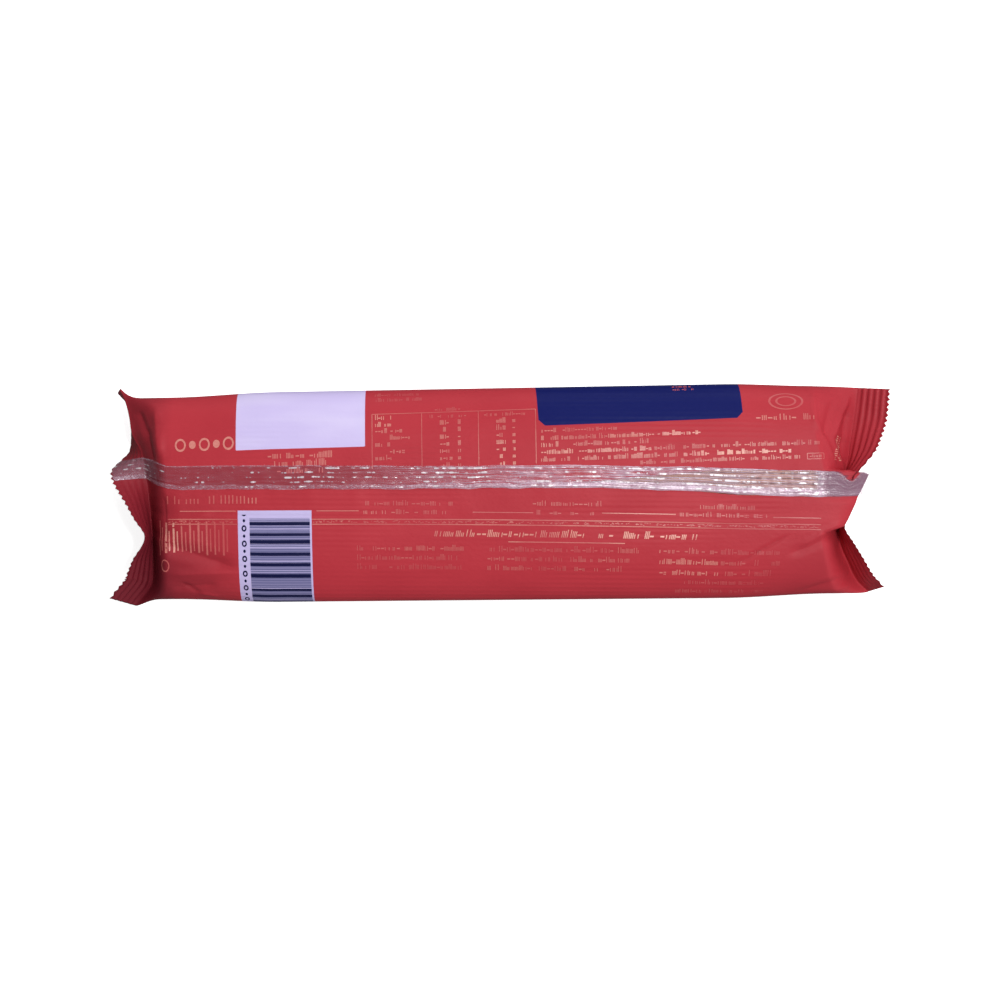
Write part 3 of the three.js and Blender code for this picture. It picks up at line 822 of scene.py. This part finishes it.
def build_marks():
    """All the small print, as flat pieces of ink a hair above the film that carries it. Its strength
    holds a painted glint, brighter and fainter in patches, and below the seam it fades towards +X."""
    parts = [box_grid(box, True) for box in upper_boxes()]
    parts += [box_grid(box, False) for box in lower_boxes()]
    for n, x in enumerate(np.linspace(-120.9, -102.7, 5)):
        radius, line = ((2.2, 0.4), (0.8, 0.8))[n % 2]
        parts.append(ring_grid(x, 22.6, radius, 0.8, line, 0.6))
    for radius in (3.3, 1.9):
        parts.append(ring_grid(108.8, 31.8, radius, 1.9, 0.22, 0.25))
    parts.append(ring_grid(-127.6, -28.4, 2.3, 0.7, 0.3, 0.4, upper=False))
    starts = np.cumsum([0] + [len(part[0]) for part in parts])
    parts = [(place, face + start, ink) for (place, face, ink), start in zip(parts, starts)]
    places, faces, strengths = (np.concatenate(group) for group in zip(*parts))
    x, g = places.T
    q = g / HALF_TOP
    row = sheet_row(x, q)
    points = on_sheet(TOP_SHEET, row, q) + on_sheet(TOP_NORMALS, row, q) * INK_LIFT
    marks = make_mesh("print_marks", points, faces.tolist(), places[faces].reshape(-1, 2))
    # Painted glint: the ink is brighter in some patches and fainter in others
    fade = ease(-0.25, 0.4, value_noise(x / 17 + 40, g / 7 + 20, 17)) * 0.6 + 0.4
    fade *= 1 - 0.72 * ease(66, 106, x) * (g < 0)
    store(marks, "ink", INK_STRENGTH * strengths * fade)
    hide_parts("film_pack")
    return marks


class Field:
    """A number that changes over the surface, written with Python's own operators."""

    def __init__(self, tree, socket):
        self.tree = tree
        self.socket = socket

    def math(self, operation, *others, clamp=False):
        node = self.tree.nodes.new("ShaderNodeMath")
        node.operation = operation
        node.use_clamp = clamp
        for place, value in enumerate((self, *others)):
            plug(self.tree, node.inputs[place], value)
        return Field(self.tree, node.outputs[0])

    __add__ = partialmethod(math, "ADD")
    __sub__ = partialmethod(math, "SUBTRACT")
    __mul__ = partialmethod(math, "MULTIPLY")
    __truediv__ = partialmethod(math, "DIVIDE")
    __lt__ = partialmethod(math, "LESS_THAN")
    __gt__ = partialmethod(math, "GREATER_THAN")
    abs = partialmethod(math, "ABSOLUTE")
    floor = partialmethod(math, "FLOOR")
    least = partialmethod(math, "MINIMUM")
    most = partialmethod(math, "MAXIMUM")

    def __neg__(self):
        return self * -1

    def rest(self):
        return self * -1 + 1

    def fraction(self):
        return self - self.floor()

    def clamp(self):
        return self.math("ADD", 0, clamp=True)

    def edge(self, soft):
        """0 below zero and 1 above it, blurred over a distance."""
        return (self / soft).math("ADD", 0.5, clamp=True)

    def between(self, low, high):
        """A straight rise from 0 at low to 1 at high."""
        return ((self - low) / (high - low)).clamp()


def plug(tree, socket, value):
    """Link an input to a Field or socket, or set it to a plain number or colour."""
    if isinstance(value, Field):
        value = value.socket
    if isinstance(value, bpy.types.NodeSocket):
        tree.links.new(value, socket)
    else:
        socket.default_value = (*value, 1) if isinstance(value, tuple) else value


def feed(tree, node, **values):
    """Plug several of a node's inputs, named with _ for a space."""
    for name, value in values.items():
        plug(tree, node.inputs[name.replace("_", " ")], value)


def split(tree, socket):
    """The three parts of a vector as Fields."""
    node = tree.nodes.new("ShaderNodeSeparateXYZ")
    tree.links.new(socket, node.inputs[0])
    return [Field(tree, part) for part in node.outputs]


def point_of(tree, x, y, z=0.0):
    """A vector made of three Fields or numbers."""
    node = tree.nodes.new("ShaderNodeCombineXYZ")
    feed(tree, node, X=x, Y=y, Z=z)
    return node.outputs[0]


def noise(tree, x, y, z=0.0, detail=2.0, rough=0.5):
    """Smooth noise from 0 to 1 at a place given by Fields."""
    node = tree.nodes.new("ShaderNodeTexNoise")
    feed(tree, node, Vector=point_of(tree, x, y, z), Scale=1.0, Detail=detail, Roughness=rough)
    return Field(tree, node.outputs[0])


def dice(tree, x, y):
    """Three random numbers from 0 to 1, one set for each whole x and y."""
    node = tree.nodes.new("ShaderNodeTexWhiteNoise")
    node.noise_dimensions = "2D"
    feed(tree, node, Vector=point_of(tree, x, y))
    parts = tree.nodes.new("ShaderNodeSeparateColor")
    tree.links.new(node.outputs["Color"], parts.inputs[0])
    return [Field(tree, socket) for socket in parts.outputs]


def blend(tree, base, colour, share):
    """One colour laid over another by a mask. Colours are sockets or linear RGB triples."""
    node = tree.nodes.new("ShaderNodeMix")
    node.data_type = "RGBA"
    for place, value in (("Factor", share), (6, base), (7, colour)):
        plug(tree, node.inputs[place], value)
    return node.outputs[2]


def patch(x, v, start, end, low, high, corner=0.0):
    """The mask of a box on the print with its lower corners cut off."""
    sideways = (x - start).least(-x + end)
    upward = v - low
    inside = sideways.least(upward.least(-v + high))
    cut = (sideways + upward - corner) * 0.707
    return inside.least(cut).edge(0.18)


def srgb(red, green, blue):
    """A colour given in the usual 0 to 255 steps, as linear light."""
    parts = np.array([red, green, blue]) / 255
    linear = np.where(parts < 0.04045, parts / 12.92, ((parts + 0.055) / 1.055) ** 2.4)
    return tuple(float(part) for part in linear)


RED = srgb(189, 54, 65)
DEEP_RED = srgb(166, 38, 50)
# dark red of the film under the seam, also used as painted shade at the ends
SEAM_AND_SHADE_RED = srgb(116, 30, 42)
MAUVE = srgb(112, 62, 84)
INK = srgb(240, 178, 160)
NAVY = srgb(0, 14, 92)
LABEL = srgb(210, 197, 242)
# a painted highlight on the label
LABEL_PAINTED_SHEEN = srgb(236, 228, 255)
BAR_BLUE = srgb(10, 14, 62)
BAR_GREY = srgb(74, 80, 128)
CLEAR = srgb(222, 192, 214)
# white of the painted highlights on the clear seam
BEAD_HIGHLIGHT = srgb(255, 248, 255)
PASTA = srgb(200, 148, 130)
PASTA_DEEP = srgb(140, 92, 84)
FLOUR = srgb(230, 200, 184)
FLOOR_SEEN = (0.97, 0.97, 0.97)
FLOOR_BOUNCE = (0.24, 0.24, 0.25)


def new_material(name):
    """A new material, its tree and its main shader."""
    material = bpy.data.materials.new(name)
    material.use_nodes = True
    tree = material.node_tree
    shader = next(node for node in tree.nodes if node.type == "BSDF_PRINCIPLED")
    return material, tree, shader


def film_places(tree):
    """The piece's own UV map in mm: along the film and round it."""
    node = tree.nodes.new("ShaderNodeUVMap")
    node.uv_map = "film"
    return [part * TO_MM for part in split(tree, node.outputs[0])[:2]]


def attribute(tree, name):
    """A number that the piece keeps on its points."""
    node = tree.nodes.new("ShaderNodeAttribute")
    node.attribute_name = name
    return Field(tree, node.outputs["Fac"])


def add_bump(tree, shader, height, strength, distance):
    """Fine relief in the shading alone, for a height of 1 at a distance in metres."""
    node = tree.nodes.new("ShaderNodeBump")
    feed(tree, node, Height=height, Strength=strength, Distance=distance)
    tree.links.new(node.outputs[0], shader.inputs["Normal"])


def film_material():
    """The printed film: red with plain areas and a striped label, darker under the seam, and left
    clear where the strands show. Painted shade darkens the ends, the lower body near them and,
    lightly, the striped label; a painted highlight lightens patches of the upper label."""
    material, tree, shader = new_material("printed_film")
    x, g = film_places(tree)
    v = g - print_drift(x, True)
    w = g - print_drift(x, False)
    above = g > 5
    below = above.rest()

    label = patch(x, v, *LABEL_BOX) * above
    panel = patch(x + (v - PANEL_BOX[2]) * PANEL_SLANT, v, *PANEL_BOX) * above
    striped = patch(x, w, *STRIPED_BOX) * below
    barred = patch(x, w, *BARS_BOX)

    # Fine grey bars, some of them smudged, and wide dark ones; the grey also lies lightly over the whole
    # striped label as painted shade
    bar_place = w / BAR_PITCH
    bar_look = dice(tree, bar_place * 0, bar_place.floor())
    fine = (bar_place.fraction() - bar_look[0] * 0.4 - 0.3).abs() < bar_look[1] * 0.14 + 0.19
    smudge_and_shade = ((fine * 0.85).most((bar_look[2] > 0.5) * 0.5 + 0.2) * barred).most(striped * 0.1)
    wide_place = w / WIDE_BAR_PITCH
    wide_look = dice(tree, wide_place * 0 + 7, wide_place.floor())
    wide_middle = wide_look[0] * 0.5 + 0.25
    wide = (wide_place.fraction() - wide_middle).abs() < wide_look[1] * 0.06 + 0.12

    # A column of rings and dots in turn beside the bars
    ring_place = w / RING_PITCH
    up = (ring_place.fraction() - 0.5) * RING_PITCH
    aside = (x - RING_MIDDLE) / 0.75
    away = (up * up + aside * aside).math("SQRT")
    radius = (ring_place.floor() * 0.5).fraction() * 2 * 0.62 + 0.3
    rings = ((away - radius).abs() < 0.34) * patch(x, w, *RINGS_BOX)
    bars = (wide * barred).most(rings) * striped

    cloud = noise(tree, x * 0.03, g * 0.05, detail=3)
    grain = noise(tree, x * 0.9, g * 3.2)
    # Painted shade: darker red over both ends' slopes and crimps, the lower body by the left end and a
    # patch low by the right end
    ends = x.between(-124, -135) * 0.5 + x.between(117, 130) * above * 0.14
    ends = ends + x.between(-94, -128) * (g.between(11, -4) * 0.28 + g.between(-12, -28) * 0.38)
    ends = ends + x.between(92, 112) * x.between(132, 122) * g.between(-10, -24) * 0.17
    # Painted highlight: lighter patches over the upper label
    painted_sheen = noise(tree, x * 0.02, g * 0.09 + 3).between(0.42, 0.7) * 0.4
    under = attribute(tree, "under_seam")
    colour = RED
    for layer, share in (
        (DEEP_RED, cloud.between(0.35, 0.75) * 0.35 + grain * 0.16),
        (SEAM_AND_SHADE_RED, ends),
        (NAVY, panel),
        (LABEL, label.most(striped)),
        (LABEL_PAINTED_SHEEN, painted_sheen * label),
        (BAR_GREY, smudge_and_shade),
        (BAR_BLUE, bars),
        (SEAM_AND_SHADE_RED, under * ((x - 25).abs().between(85, 15) * -0.48 + 0.6)),
        (MAUVE, under * x.between(117, 124)),
    ):
        colour = blend(tree, colour, layer, share)

    # The clear stretch, between two bent lines and a ragged end
    low = ((x - 90) * -0.105).most((x - 90) * -0.034) - 1.6
    high = ((x - 81.6) * 0.08).least((x - 81.6) * -0.016) + 7.9
    wobble = noise(tree, x * 0.16, g * 0, detail=3) - 0.5
    ragged = noise(tree, x * 0.2, g * 0.9, detail=3) * 8 - 4
    window = (g - low + wobble).least(high - g + wobble).least(-x + 121 + ragged).edge(0.3)

    rough = grain * 0.06 + cloud * 0.08 + 0.42
    feed(tree, shader, Base_Color=colour, Alpha=window.rest(), Roughness=rough, Specular_IOR_Level=0.16)
    strands = (g * (math.pi / STRAND_PITCH)).math("SINE").abs()
    rise = strands * 0.08 + noise(tree, x * 0.5, g * 0.6, detail=3) * 0.8
    add_bump(tree, shader, rise, 0.35, 0.0003)
    return material


def ink_material():
    """Pale ink standing in for a metallic one, brighter where the piece's own ink attribute is high,
    with a painted glint in small patches.
    """
    material, tree, shader = new_material("pale_ink")
    x, g = film_places(tree)
    # Painted glint: finer patches where the ink is brighter
    painted_glint = noise(tree, x * 1.3, g * 1.3).between(0.3, 0.6) * 0.3 + 0.7
    colour = blend(tree, RED, INK, attribute(tree, "ink") * painted_glint)
    feed(tree, shader, Base_Color=colour, Roughness=0.4)
    return material


def clear_material():
    """The clear seam, stretched over the strands. Rows of small bright beads along its crests and
    scattered specks are painted highlights in white. It is hazy where it is folded double on its -Y side,
    and at both edges.
    """
    material, tree, shader = new_material("clear_film")
    x, s = film_places(tree)
    right = x.between(-70, 70)
    row = s * (SEAM_ROWS / SEAM_WIDTH)
    ridge = ((row.fraction() - 0.5).abs() * -3.0 + 1).most(0)
    long_dash = noise(tree, x * 0.3, row.floor() * 5.7, detail=1)
    short_dash = noise(tree, x * 0.85, row.floor() * 3.1 + 40, detail=1)
    column = noise(tree, x * 0.1, row * 0.1)
    chance = long_dash * 0.4 + short_dash * 0.24 + column * 0.36 + right * 0.035
    calm = x.between(125, 119) * 0.85 + 0.15
    # Painted highlights: white beads along the crests, in dashes, opaque where they lie
    painted_beads = (chance.between(0.5, 0.62) * ridge).between(0.16, 0.62) * calm
    streak = noise(tree, x * 0.05, s * 2.4, detail=4, rough=0.7)
    speck = noise(tree, x * 1.1, s * 1.7, detail=3, rough=0.6)
    lattice = ((x * 4.6).math("SINE") * (s * 7.9).math("SINE")).between(0.2, 0.9) * (right * -0.16 + 0.16)
    fold = noise(tree, x * 0.13, s * 0.0) * 2.4 + right * 1.2 + 0.6
    fin = (fold - s).edge(0.6)
    rim = noise(tree, x * 0.4, s * 0.2).between(0.35, 0.65)
    edges = (s - 9.6).edge(0.2).most((-s + 0.35).edge(0.2)) * rim
    ends = x.between(-129, -134) * 0.16 + x.between(121, 125) * 0.1
    centre = (x - 25).abs().between(85, 15)
    lines = streak.between(0.44, 0.6) * (right * 0.42 + centre * 0.26 + 0.06)
    haze = lines * calm + right * 0.07
    haze = haze + ridge * centre * 0.12 + lattice
    haze = haze + (x - 121).abs().between(2.6, 0.4) * speck * 0.6
    haze = haze + fin * (speck.between(0.4, 0.62) * 0.22 * calm + right * 0.3 * calm + 0.06) + ends
    alpha = (haze + edges * 0.4).most(painted_beads * (right * 0.25 + 0.65)).clamp()
    # Painted highlights: the beads and some specks are coloured white
    shade = blend(tree, CLEAR, BEAD_HIGHLIGHT, painted_beads.most(speck.between(0.56, 0.7) * 0.6 * calm))
    feed(tree, shader, Base_Color=shade, Alpha=alpha, Roughness=0.2, Specular_IOR_Level=1.0)
    add_bump(tree, shader, speck, 0.4, 0.0003)
    return material


def pasta_material():
    """Dried durum strands: matt, warm, a little floury, finely streaked along their length."""
    material, tree, shader = new_material("pasta")
    node = tree.nodes.new("ShaderNodeTexCoord")
    x, y, z = [part * TO_MM for part in split(tree, node.outputs["Object"])]
    streak = noise(tree, x * 0.05, y * 2.5, z * 2.5, detail=3)
    flour = noise(tree, x * 2.2, y * 2.2, z * 2.2, detail=3)
    colour = blend(tree, PASTA, PASTA_DEEP, streak.between(0.4, 0.7) * 0.55)
    colour = blend(tree, colour, FLOUR, flour.between(0.5, 0.75) * 0.4)
    feed(tree, shader, Base_Color=colour, Roughness=flour * 0.25 + 0.45)
    add_bump(tree, shader, flour, 0.3, 0.0002)
    return material


def add_light(name, place, size, power):
    """A square soft white light aimed at the pack. Place and size in metres."""
    data = bpy.data.lights.new(name, "AREA")
    data.size = size
    data.energy = power
    light = add_object(name, data)
    light.location = place
    toward = -np.array(place)
    turn = math.atan2(toward[1], toward[0])
    tip = math.atan2(math.hypot(toward[0], toward[1]), -toward[2])
    light.rotation_euler = (tip, 0, turn - math.pi / 2)


def camera_ray(tree):
    """1 for what the camera sees directly, and 0 for light on its way."""
    return Field(tree, tree.nodes.new("ShaderNodeLightPath").outputs["Is Camera Ray"])


def studio_sky():
    """The room: white to the camera. Its light is bright low and all round, brighter towards
    +X and +Y and never dark at the horizon, and faint overhead."""
    world = bpy.data.worlds.new("studio")
    world.use_nodes = True
    tree = world.node_tree
    node = tree.nodes.new("ShaderNodeTexCoord")
    x, y, z = split(tree, node.outputs["Generated"])
    height = z.between(0.95, 0.7) * 0.95 + 0.05
    side = (x * SKY_LEAN[0] + y * SKY_LEAN[1] + 1).most(z * -0.9 + 0.42)
    strength = (height * side * SKY_LIGHT).most(camera_ray(tree))
    feed(tree, tree.nodes["Background"], Color=(1, 1, 1), Strength=strength)
    bpy.context.scene.world = world


def build_studio():
    """A white floor in a pale room, a window's soft light from +Y and a lamp overhead, a
    little towards +X. The floor glows only to the camera, so that it looks white."""
    mesh = bpy.data.meshes.new("studio_floor")
    corners = [(x * FLOOR_HALF, y * FLOOR_HALF, 0) for x, y in ((-1, -1), (1, -1), (1, 1), (-1, 1))]
    mesh.from_pydata(corners, [], [(0, 1, 2, 3)])
    floor = add_object("studio_floor", mesh)
    material, tree, shader = new_material("floor_white")
    seen = camera_ray(tree)
    feed(
        tree, shader,
        Base_Color=blend(tree, FLOOR_BOUNCE, FLOOR_SEEN, seen),
        Emission_Color=(1, 1, 1), Emission_Strength=seen * 0.8,
        Roughness=0.9, Specular_IOR_Level=0.1,
    )
    mesh.materials.append(material)
    studio_sky()
    add_light("window_light", (0.3, 1.7, 0.8), 0.9, 5)
    add_light("lamp", (0.33, 0.1, 1.2), 0.18, 8.2)
    bpy.context.scene.view_settings.view_transform = "Standard"


def place_camera():
    """The camera straight above the pack, as the photograph was taken."""
    data = bpy.data.cameras.new("photo_camera")
    data.sensor_width = SENSOR_WIDTH
    data.lens = SENSOR_WIDTH * PHOTO_DISTANCE / PHOTO_SPAN
    camera = add_object("photo_camera", data)
    spot = np.array([*PHOTO_CENTRE, BODY_THICKNESS + PHOTO_DISTANCE]) + TO_FRAME
    camera.location = tuple(spot * MM)
    camera.rotation_euler = (0, 0, math.radians(PHOTO_ROLL))
    bpy.context.scene.camera = camera


build_wrap().data.materials.append(film_material())
build_marks().data.materials.append(ink_material())
build_seam().data.materials.append(clear_material())
build_strands().data.materials.append(pasta_material())
build_studio()
place_camera()
